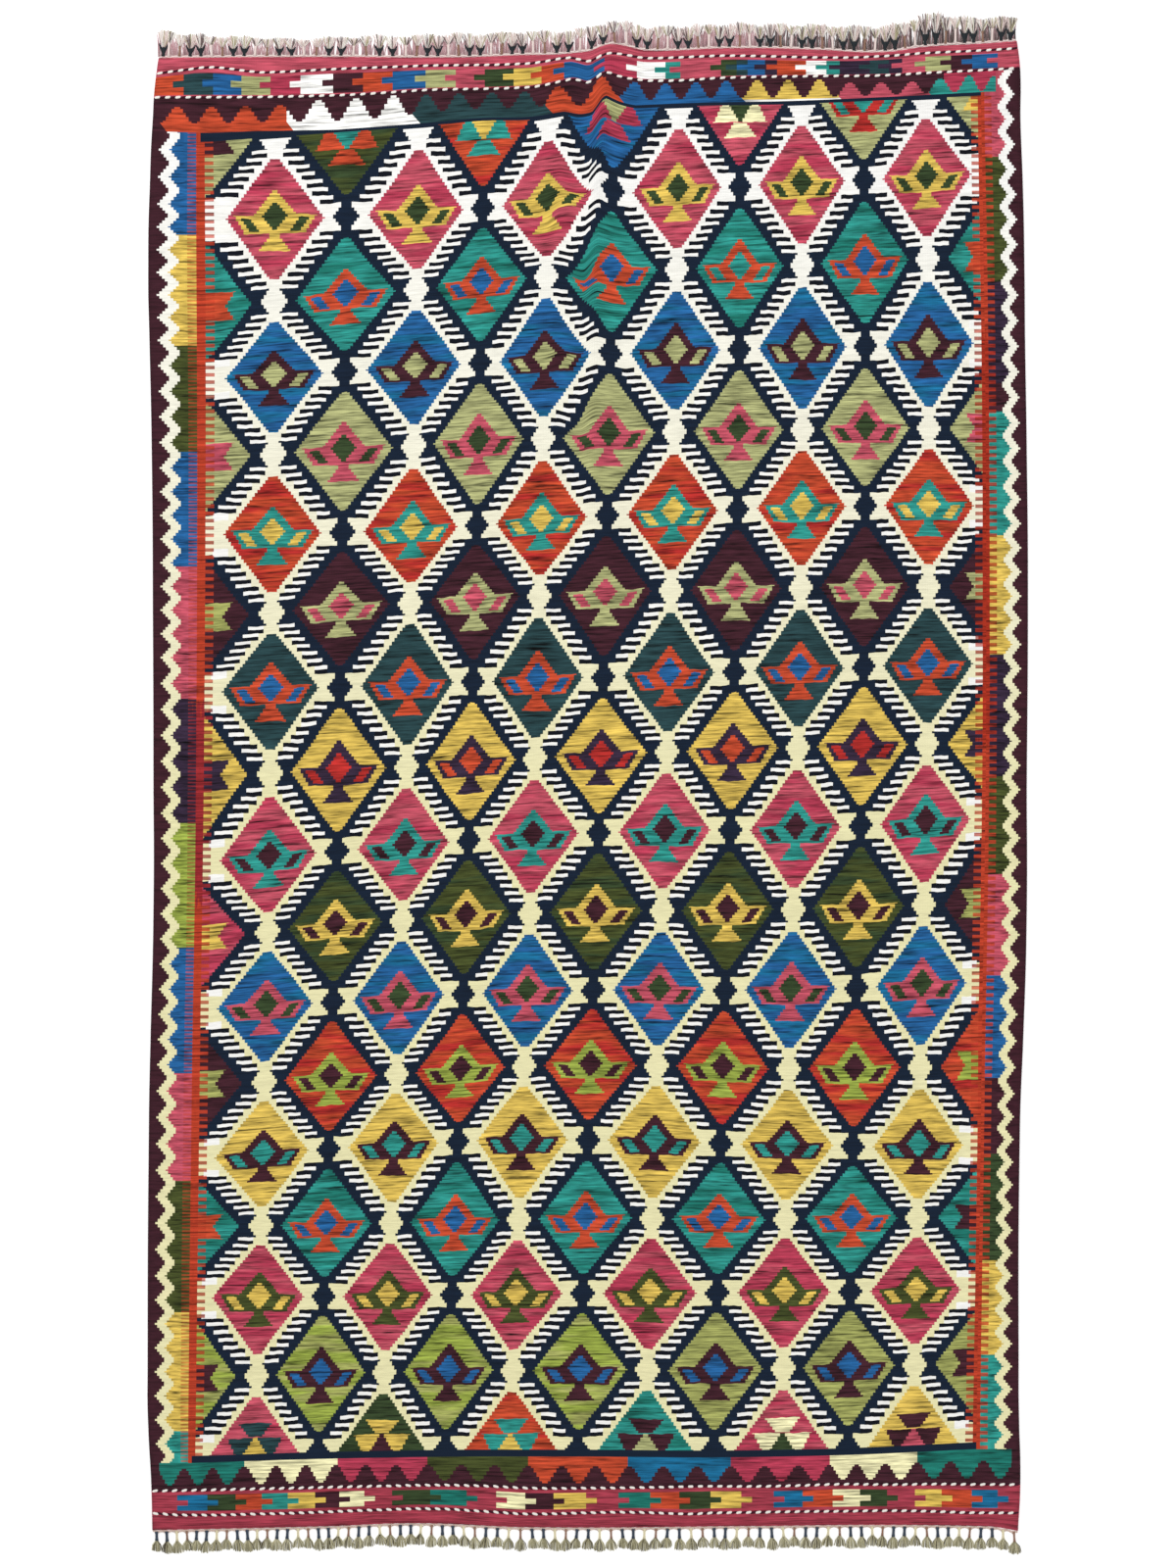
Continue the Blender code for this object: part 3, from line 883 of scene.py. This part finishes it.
def grid_point(row, column):
    """A grid point's place, its lattice numbers, and what the borders, bands and teeth are there."""
    along = end_line(row.end, "outer_twine", 0.0) if row.end else row_along(row, column.lattice, 0.0)
    for _ in range(2):
        across, lattice_column = column_across(column, row.lattice, along)
        along = row_along(row, lattice_column, across)
    side = -1 if across < 0 else 1
    comb = comb_across(side, row.lattice)
    out = abs(across - comb) / abs(side_edge(side, along) - comb)
    zigzag = counted(LEFT_ZIGZAG if side < 0 else RIGHT_ZIGZAG, along)
    end = row.end or (1 if row.lattice < 1 else -1)
    teeth = teeth_columns[end]
    tip, strip = between_points(teeth["tip"], across), between_points(teeth["strip"], across)
    return (
        (across, along, crease_lift(across, along)),
        (lattice_column, row.lattice, 0.0),
        (out, zigzag, side),
        (row.band, 0.0, end),
        (counted(teeth["number"], across), tip, strip),
    )


def cloth_faces(wide, long):
    """The cloth's faces, each with the column and row of its grid cell: top, underside and rim. The
    underside's points are numbered on from the top's."""
    under = wide * long
    faces = []

    def add_rim(a, b, i, j):
        faces.append(((a, b, b + under, a + under), i, j))

    for j in range(long - 1):
        for i in range(wide - 1):
            a = j * wide + i
            b, c, d = a + 1, a + wide + 1, a + wide
            faces.append(((a, d, c, b), i, j))
            faces.append(((a + under, b + under, c + under, d + under), i, j))
        first, last = j * wide, (j + 1) * wide - 1
        add_rim(first + wide, first, 0, j)
        add_rim(last, last + wide, wide - 2, j)
    for i in range(wide - 1):
        add_rim(i, i + 1, i, 0)
        near = (long - 1) * wide + i
        add_rim(near + 1, near, i, long - 2)
    return faces


def face_material(column, row, next_row):
    """The material of a grid cell. The side borders run on beside the line that closes the field."""
    on_border = column.border > 0 or (column.side > 0 and column.lattice == LAST_COLUMN)
    beside_line = on_border and row.band + next_row.band == 1
    far_right = column.side > 0 and column.border > CORNER_BORDER and row.end > 0 and row.band <= 2
    if (row.end > 0 or next_row.end < 0) and not (beside_line or far_right):
        return BANDS
    return BORDER if on_border else FIELD


def diamond_at(column, row):
    fill, motif, inner = (ODD_ONES.get((column, row)) or ROW_COLOURS[row]).split()
    return Diamond(fill, motif, inner, ABRASH.get(fill, fill))


def cell_diamonds(column, row):
    """The cream-bordered and the navy-bordered diamond that share a cell of the lattice."""
    column = min(max(column, 0), LAST_COLUMN - 1)
    row = min(max(row, 0), LAST_ROW - 1)
    odd_column, even_column = (column, column + 1) if column % 2 else (column + 1, column)
    odd_row, even_row = (row, row + 1) if row % 2 else (row + 1, row)
    return diamond_at(odd_column, odd_row), diamond_at(even_column, even_row)


def set_attribute(mesh, name, kind, domain, values):
    field = "color" if kind == "FLOAT_COLOR" else "vector"
    layer = mesh.attributes.new(name, kind, domain)
    layer.data.foreach_set(field, np.asarray(values, dtype=np.float32).ravel())


def add_bake_map(mesh, points):
    """A map that lays the rug out flat."""
    layer = mesh.uv_layers.new(name="OFBake")
    corner_points = np.empty(len(mesh.loops), dtype=np.int32)
    mesh.loops.foreach_get("vertex_index", corner_points)
    low, high = points.min(axis=0)[:2], points.max(axis=0)[:2]
    flat = MAP_MARGIN + (1 - 2 * MAP_MARGIN) * (points[:, :2] - low) / (high - low)
    layer.data.foreach_set("uv", flat[corner_points].astype(np.float32).ravel())


def make_cloth():
    """The cloth's top, underside and rim as one mesh with one grid for both sides."""
    columns, rows = grid_columns(), grid_rows()
    grid = [grid_point(row, column) for row in rows for column in columns]
    under, lattice, border, band, teeth = (np.array(values) for values in zip(*grid))
    points = np.concatenate([under + (0, 0, CLOTH_THICKNESS), under])
    faces, materials, cells = [], [], []
    for face, i, j in cloth_faces(len(columns), len(rows)):
        faces.append(face)
        materials.append(face_material(columns[i], rows[j], rows[j + 1]))
        place = lattice[j * len(columns) + i] + NUDGE
        cells.append((int(place[0]), int(place[1])))

    mesh = bpy.data.meshes.new("kilim_weave")
    mesh.from_pydata(points.tolist(), [], faces)
    mesh.polygons.foreach_set("material_index", materials)
    mesh.polygons.foreach_set("use_smooth", [True] * len(faces))
    for name, values in (("lattice", lattice), ("border", border), ("band", band), ("teeth", teeth)):
        set_attribute(mesh, name, "FLOAT_VECTOR", "POINT", np.concatenate([values, values]))
    diamonds = {cell: cell_diamonds(*cell) for cell in set(cells)}
    for which, prefix in enumerate(("cream_", "navy_")):
        for part in Diamond._fields:
            values = [WOOL[getattr(diamonds[cell][which], part)] for cell in cells]
            set_attribute(mesh, prefix + part, "FLOAT_COLOR", "FACE", values)
    add_bake_map(mesh, points)

    cloth = bpy.data.objects.new("kilim_weave", mesh)
    bpy.context.collection.objects.link(cloth)
    mesh.materials.append(woven("wool_field", field_colour))
    mesh.materials.append(woven("wool_border", border_colour))
    mesh.materials.append(woven("wool_bands", bands_colour))
    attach(cloth, "root")
    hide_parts("kilim_cloth")
    return cloth


# ---------------------------------------------------------------- yarns laid on and beside the cloth

YARNS = {
    "white": (250, 246, 238), "dark": (62, 20, 36), "cream": (226, 216, 180), "pale": (226, 221, 190),
    "straw": (200, 193, 158), "hay": (172, 166, 134), "umber": (92, 84, 66), "slate": (42, 48, 52),
    "steel": (64, 74, 88), "brown": (150, 116, 98), "rose": (240, 222, 216), "blush": (214, 190, 176),
    "lilac": (212, 172, 176), "mauve": (184, 148, 152), "ash": (128, 112, 110), "soot": (94, 82, 80),
}
YARN_NAMES = list(YARNS)

# The twined weft lines: dashes in turn light and dark
DASH_LENGTH = 0.0100
DASH_WIDTH = 0.0048
DASH_HEIGHT = 0.0026
DASH_SINK = 0.2              # share of its height by which a dash's middle stands over the cloth
DASH_TAPER = 0.45
DARK_DASH = 0.8              # share of a light one's width
DASH_OVERLAP = 0.004
DASH_POINTS = (-0.5, -0.3, 0.3, 0.5)
TWINE_MARGIN = 0.002         # between the line and the selvedge
FAR_PITCH = 0.0178
NEAR_PITCH = 0.0168
# How the dashes lean along their line, by their place across the rug
FAR_SLANTS = {0.0: 0.12}
NEAR_INNER_SLANTS = {-0.37: 0.24, -0.33: -0.24, 0.10: -0.15, 0.30: 0.20}
NEAR_OUTER_SLANTS = {0.10: -0.24, 0.20: 0.20}

# The end cord
CORD_POINTS = 6              # points in each of its waves, one wave to a tassel
CORD_WAVE = 0.0009
CORD_SHARE = 0.999           # of the cloth's width
CORD_YARN = 0.0034
CORD_LEVEL = 0.0016
ROOT_PLACE = 0.6             # where the tassels start, as a share of the cord's width
# The bends from each tassel to the next: how far out they lie on the way
ARCH = {0.0: 0.0050, 0.22: 0.0016, 0.5: 0.0006, 0.78: 0.0016, 1.0: 0.0050}
ARCH_WIDTH = 0.0017
ARCH_LEVEL = 0.0014

# Light stems, counted from the left. Each is followed by a brown and two dark ones, so four tassels
# make one of the count. The far end starts with a dark one at the very corner.
FAR_STEMS = {
    -0.730: -0.25, -0.721: 0, -0.572: 2, -0.402: 4, -0.311: 5, -0.091: 8, 0.070: 10, 0.354: 14, 0.499: 16,
    0.638: 18, 0.701: 19,
}
NEAR_STEMS = {
    -0.707: 0, -0.568: 2, -0.357: 5, -0.212: 7, -0.054: 9, 0.101: 11, 0.261: 13, 0.419: 15, 0.569: 17,
    0.720: 19,
}
STEM_WIDTHS = (0.0056, 0.0052, 0.0070, 0.0070)
STEM_WAIST = 0.75            # share of its width
STEM_LEVEL = 0.0023
STEM_POINTS = (0.0, 0.33, 0.67, 1.0)
STEM_HEIGHT = 0.6            # share of its width
BRANCH_HEIGHT = 0.5
FAR_ORDER_TURNS = 0.0        # right of this place the far end has the dark ones before the brown one
# The dark far stems fork: reach, distance aside, height and width along a branch
BRANCH = (
    (0.0040, 0.0, 0.0020, 0.0044),
    (0.0112, 0.0042, 0.0022, 0.0044),
    (0.0180, 0.0078, 0.0020, 0.0020),
)

# The far tassels have pink and grey strands laid between them, and differ in length.
FAR_LENGTHS = {
    -0.751: 1.15, -0.660: 0.92, -0.500: 0.74, -0.370: 0.88, -0.250: 0.96, 0.020: 0.98, 0.400: 1.02,
    0.540: 1.12, 0.595: 1.38, 0.660: 1.12, 0.751: 1.00,
}
TUFT_REACH = 0.0370
TUFT_ROUNDING = 0.0025       # how much shorter a tuft's outer strands are
TUFT_NECK = 0.0014
TUFT_SHOULDER = 0.45         # where a strand bends, as a share of its way
TUFT_LAYERS = 5
LAYER_STEP = 7               # strands in turn lie this many layers on
LOWEST_LAYER = 0.0012
LAYERS_HEIGHT = 0.0014       # from the lowest to the highest
FAN_CHANCE = 0.12            # how unevenly the strands fan out, end and bend
TIP_CHANCE = (-0.0022, 0.0010)
BEND_CHANCE = 0.06
STRAND_SWELL = 1.2           # its width at the bend, against its ends
TIP_LEVEL = 0.7              # share of its width
# How the tassels vary along an end, as in the part
LEAN_WAVE = 0.9
SECOND_WAVE = 2.3
SECOND_LEAN = 0.4
LENGTH_WAVE = 1.7
Tufts = namedtuple("Tufts", "stems before stem_colours stem_lengths strands strand_width half_width "
                            "shoulder colours cord")
NEAR_TUFTS = Tufts(
    stems=NEAR_STEMS,
    before=2,                # tassels left of the first light one
    stem_colours=("cream", "brown", "steel", "steel"),
    stem_lengths=(0.0165, 0.0165, 0.0165, 0.0165),
    strands=26,
    strand_width=0.0013,
    half_width=0.0104,
    shoulder=0.78,
    colours=("straw", "hay", "pale", "hay", "umber", "straw", "hay"),
    cord="blush",
)
FAR_TUFTS = Tufts(
    stems=FAR_STEMS,
    before=1,
    stem_colours=("rose", "brown", "slate", "slate"),
    stem_lengths=(0.0200, 0.0170, 0.0125, 0.0125),
    strands=12,
    strand_width=0.0017,
    half_width=0.0125,
    shoulder=0.55,
    colours=("rose", "white", "rose", "white", "straw", "rose", "ash"),
    cord="rose",
)
TANGLE_STRANDS = 15          # strands laid beside each far tassel
TANGLE_WIDTH = 0.0022
TANGLE_LEVEL = 0.0012
TANGLE_REACH = (0.55, 0.97)  # shares of a tuft's
TANGLE_DRIFT = 0.006
TANGLE_BEND = 0.3            # share of its drift that a loose end has halfway
TANGLE_TIP = 0.4             # its tip's width, against the rest
TANGLE_TIP_LEVEL = 0.0008
GREY_TANGLE = 0.30           # right of this place across the rug they are grey
PINK_SHADES = ("lilac", "mauve", "lilac", "lilac")
GREY_SHADES = ("ash", "soot", "ash", "mauve")


def end_name(end):
    return "far" if end > 0 else "near"


class Yarns:
    """Collects lengths of yarn, each of one colour, into one object."""

    def __init__(self, name):
        self.name = name
        self.points = []
        self.faces = []
        self.colours = []

    def strand(self, path, widths, colour, sides=3, height=1.0):
        """A yarn along a path of points. height is its own height over its width."""
        path = np.array(path, dtype=float)
        first = len(self.points)
        for i, (point, width) in enumerate(zip(path, widths)):
            way = path[min(i + 1, len(path) - 1)] - path[max(i - 1, 0)]
            aside = np.array([-way[1], way[0], 0.0]) / math.hypot(way[0], way[1])
            for k in range(sides):
                turn = 2 * math.pi * (k + 0.5) / sides
                offset = math.cos(turn) * aside + math.sin(turn) * height * np.array([0, 0, 1])
                self.points.append(tuple(point + offset * width / 2))
        for i in range(len(path) - 1):
            for k in range(sides):
                a = first + i * sides + k
                b = first + i * sides + (k + 1) % sides
                self.faces.append((a, b, b + sides, a + sides))
        last = first + (len(path) - 1) * sides
        self.faces.append(tuple(first + sides - 1 - k for k in range(sides)))
        self.faces.append(tuple(last + k for k in range(sides)))
        self.colours += [YARN_NAMES.index(colour)] * ((len(path) - 1) * sides + 2)

    def finish(self, node):
        mesh = bpy.data.meshes.new(self.name)
        mesh.from_pydata(self.points, [], self.faces)
        used = sorted(set(self.colours))
        for number in used:
            mesh.materials.append(yarn_material(YARN_NAMES[number]))
        mesh.polygons.foreach_set("material_index", [used.index(c) for c in self.colours])
        mesh.polygons.foreach_set("use_smooth", [True] * len(self.faces))
        made = bpy.data.objects.new(self.name, mesh)
        bpy.context.collection.objects.link(made)
        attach(made, "root")
        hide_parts(node)
        return made


def plain_material(name, colour, roughness, shine):
    """A material of one colour, and its shader."""
    made = bpy.data.materials.new(name)
    made.use_nodes = True
    shader = made.node_tree.nodes["Principled BSDF"]
    shader.inputs["Base Color"].default_value = colour
    shader.inputs["Roughness"].default_value = roughness
    shader.inputs["Specular IOR Level"].default_value = shine
    return made, shader


def yarn_material(name):
    made = bpy.data.materials.get("yarn_" + name)
    return made or plain_material("yarn_" + name, linear_rgb(YARNS[name]), roughness=0.9, shine=0.2)[0]


def make_twining(end, side, pitch, slants):
    """One twined weft line, the outer or the inner one. slants says how its dashes lean along it."""
    line = side + "_twine"
    yarns = Yarns("twining_%s_%s" % (end_name(end), side))
    count = round(CLOTH_WIDTH / pitch) * 2
    for number in range(count):
        light = number % 2 == 0
        start = -CLOTH_WIDTH / 2 + TWINE_MARGIN + (CLOTH_WIDTH - 2 * TWINE_MARGIN) * number / count
        length = DASH_LENGTH if light else pitch - DASH_LENGTH + DASH_OVERLAP
        middle = start + pitch / 4
        middle_y = end_line(end, line, middle)
        slant = between_points(slants, middle)
        path = []
        for share in DASH_POINTS:
            x = middle + share * length
            y = end_line(end, line, x) + slant * share * length
            height = CLOTH_THICKNESS + crease_lift(x, middle_y) + DASH_HEIGHT * DASH_SINK
            path.append((spread(x, y), y, height))
        wide = DASH_WIDTH if light else DASH_WIDTH * DARK_DASH
        widths = (wide * DASH_TAPER, wide, wide, wide * DASH_TAPER)
        yarns.strand(path, widths, "white" if light else "dark", sides=6, height=DASH_HEIGHT / DASH_WIDTH)
    return yarns.finish("kilim_cloth")


def tassel_roots(end, tufts):
    """Where an end's tassels start: across, along and how far the crease lifts them."""
    by_number = {4 * number + tufts.before: place for place, number in tufts.stems.items()}
    roots = []
    for number in range(TASSELS_PER_END):
        x = counted(by_number, number)
        y = end_line(end, "beyond", x) + end * (PIECE_GAP + CORD_WIDTH * ROOT_PLACE)
        roots.append((x, y, crease_lift(x, y)))
    return roots


def cord_and_arches(yarns, end, roots, colour):
    """The plied cord along an end, and the warp ends that bend from each tassel to the next."""
    for tassel in range(TASSELS_PER_END):
        cord = []
        for k in range(CORD_POINTS + 1):
            share = (tassel + k / CORD_POINTS) / TASSELS_PER_END
            x = CLOTH_WIDTH * (share - 0.5) * CORD_SHARE
            sag = CORD_WAVE * math.cos(2 * math.pi * k / CORD_POINTS)
            y = end_line(end, "beyond", x) + end * (PIECE_GAP + CORD_WIDTH / 2 - sag)
            cord.append((spread(x, y), y, CORD_LEVEL + crease_lift(x, y)))
        yarns.strand(cord, [CORD_YARN] * len(cord), colour, sides=5)
    for root, next_root in zip(roots, roots[1:]):
        arch = []
        for share, out in ARCH.items():
            x, y, lift = (a + (b - a) * share for a, b in zip(root, next_root))
            arch.append((x, y + end * out, ARCH_LEVEL + lift))
        yarns.strand(arch, [ARCH_WIDTH] * len(arch), colour)


def tangle(yarns, chance, end, root, length):
    """Pink and grey strands laid close together between the far tassels, out from the cord."""
    x, y, lift = root
    pitch = CLOTH_WIDTH / TASSELS_PER_END
    for k in range(TANGLE_STRANDS):
        start = x + ((k + chance.uniform(0.0, 1.0)) / TANGLE_STRANDS - 0.5) * pitch
        reach = TUFT_REACH * length * chance.uniform(*TANGLE_REACH)
        aside = chance.uniform(-TANGLE_DRIFT, TANGLE_DRIFT)
        path = [
            (start, y, TANGLE_LEVEL + lift),
            (start + aside * TANGLE_BEND, y + end * reach * 0.5, TANGLE_LEVEL + lift / 2),
            (start + aside, y + end * reach, TANGLE_TIP_LEVEL),
        ]
        shades = GREY_SHADES if start > GREY_TANGLE else PINK_SHADES
        shade = shades[chance.integers(len(shades))]
        yarns.strand(path, (TANGLE_WIDTH, TANGLE_WIDTH, TANGLE_WIDTH * TANGLE_TIP), shade)


def make_fringe(end, tufts):
    """The cord along an end and its row of tassels, each a stem with a splayed tuft."""
    chance = np.random.default_rng(5 + end)
    yarns = Yarns("fringe_%s_yarns" % end_name(end))
    roots = tassel_roots(end, tufts)
    cord_and_arches(yarns, end, roots, tufts.cord)

    for number, (root_x, root, lift) in enumerate(roots):
        lean = LEAN * (math.sin(LEAN_WAVE * number) + SECOND_LEAN * math.sin(SECOND_WAVE * number + 1))
        length = 1 + LENGTH_VARIATION * math.sin(LENGTH_WAVE * number + end)
        if end > 0:
            length *= between_points(FAR_LENGTHS, root_x) * FAR_TASSEL_STRETCH
            tangle(yarns, chance, end, roots[number], length)

        def spot(reach, aside, height):
            share = reach / TUFT_REACH
            height += lift * max(1 - share, 0.0)
            return (root_x + lean * share + aside, root + end * reach * length, height)

        kind = (number - tufts.before) % 4
        if end > 0 and root_x > FAR_ORDER_TURNS:
            kind = -kind % 4
        colour = tufts.stem_colours[kind]
        stem_end = tufts.stem_lengths[kind]
        wide = STEM_WIDTHS[kind]
        stem = [spot(stem_end * share, 0.0, STEM_LEVEL) for share in STEM_POINTS]
        widths = (wide, wide * STEM_WAIST, wide * STEM_WAIST, wide)
        yarns.strand(stem, widths, colour, sides=6, height=STEM_HEIGHT)
        if end > 0 and colour == "slate":
            for side in (-1, 1):
                branch = [spot(reach, side * aside, height) for reach, aside, height, _ in BRANCH]
                branch_widths = [row[-1] for row in BRANCH]
                yarns.strand(branch, branch_widths, colour, sides=5, height=BRANCH_HEIGHT)
        wool = tufts.strand_width
        for k in range(tufts.strands):
            fan = 2 * (k + 0.5) / tufts.strands - 1 + chance.uniform(-FAN_CHANCE, FAN_CHANCE)
            tip = TUFT_REACH - TUFT_ROUNDING * fan * fan + chance.uniform(*TIP_CHANCE)
            aside = tufts.half_width * fan
            layer = LOWEST_LAYER + LAYERS_HEIGHT * (k * LAYER_STEP % TUFT_LAYERS) / (TUFT_LAYERS - 1)
            bend = tufts.shoulder + chance.uniform(-BEND_CHANCE, BEND_CHANCE)
            path = [
                spot(stem_end, TUFT_NECK * fan, layer),
                spot(stem_end + (tip - stem_end) * TUFT_SHOULDER, aside * bend, layer),
                spot(tip, aside, wool * TIP_LEVEL),
            ]
            shade = tufts.colours[chance.integers(len(tufts.colours))]
            yarns.strand(path, (wool, wool * STRAND_SWELL, wool), shade)
    return yarns.finish("fringe_" + end_name(end))


cloth = make_cloth()
twinings = [
    make_twining(1, "outer", FAR_PITCH, FAR_SLANTS),
    make_twining(1, "inner", FAR_PITCH, FAR_SLANTS),
    make_twining(-1, "inner", NEAR_PITCH, NEAR_INNER_SLANTS),
    make_twining(-1, "outer", NEAR_PITCH, NEAR_OUTER_SLANTS),
]
fringes = [make_fringe(1, FAR_TUFTS), make_fringe(-1, NEAR_TUFTS)]

# ---------------------------------------------------------------- floor, light and camera

WHITE = (1, 1, 1, 1)
FLOOR_SIZE = 14
FLOOR_DROP = 0.0005
FLOOR_GLOW = 0.30
DAYLIGHT = 0.60
FRAME_HEIGHT = 2.709         # what the picture shows of the floor from bottom to top
FRAME_MIDDLE = (0.0034, 0.0085)
LENS = 85
SENSOR = 36


def make_floor():
    bpy.ops.mesh.primitive_plane_add(size=FLOOR_SIZE, location=(0, 0, -FLOOR_DROP))
    floor = bpy.context.active_object
    floor.name = "floor"
    material, shader = plain_material("floor_paint", WHITE, roughness=1.0, shine=0.0)
    shader.inputs["Emission Color"].default_value = WHITE
    shader.inputs["Emission Strength"].default_value = FLOOR_GLOW
    floor.data.materials.append(material)


def add_light(name, place, size, power):
    """A square lamp that faces the middle of the rug."""
    light = bpy.data.lights.new(name, "AREA")
    light.shape = "SQUARE"
    light.size = size
    light.energy = power
    lamp = bpy.data.objects.new(name, light)
    bpy.context.collection.objects.link(lamp)
    lamp.location = place
    lamp.rotation_euler = (-Vector(place)).to_track_quat("-Z", "Y").to_euler()


def add_camera():
    data = bpy.data.cameras.new("camera")
    data.lens = LENS
    data.sensor_width = SENSOR
    data.sensor_fit = "VERTICAL"
    data.sensor_height = SENSOR
    camera = bpy.data.objects.new("camera", data)
    bpy.context.collection.objects.link(camera)
    camera.location = (*FRAME_MIDDLE, FRAME_HEIGHT * LENS / SENSOR)
    bpy.context.scene.camera = camera


make_floor()
add_light("key", place=(-2.6, 4.2, 4.5), size=3.0, power=150)
add_light("fill", place=(3.0, -2.5, 5.5), size=4.0, power=75)
add_camera()

world = bpy.data.worlds.new("studio")
bpy.context.scene.world = world
world.use_nodes = True
background = world.node_tree.nodes["Background"]
background.inputs["Color"].default_value = WHITE
background.inputs["Strength"].default_value = DAYLIGHT
bpy.context.scene.view_settings.view_transform = "Standard"

twinings + fringes
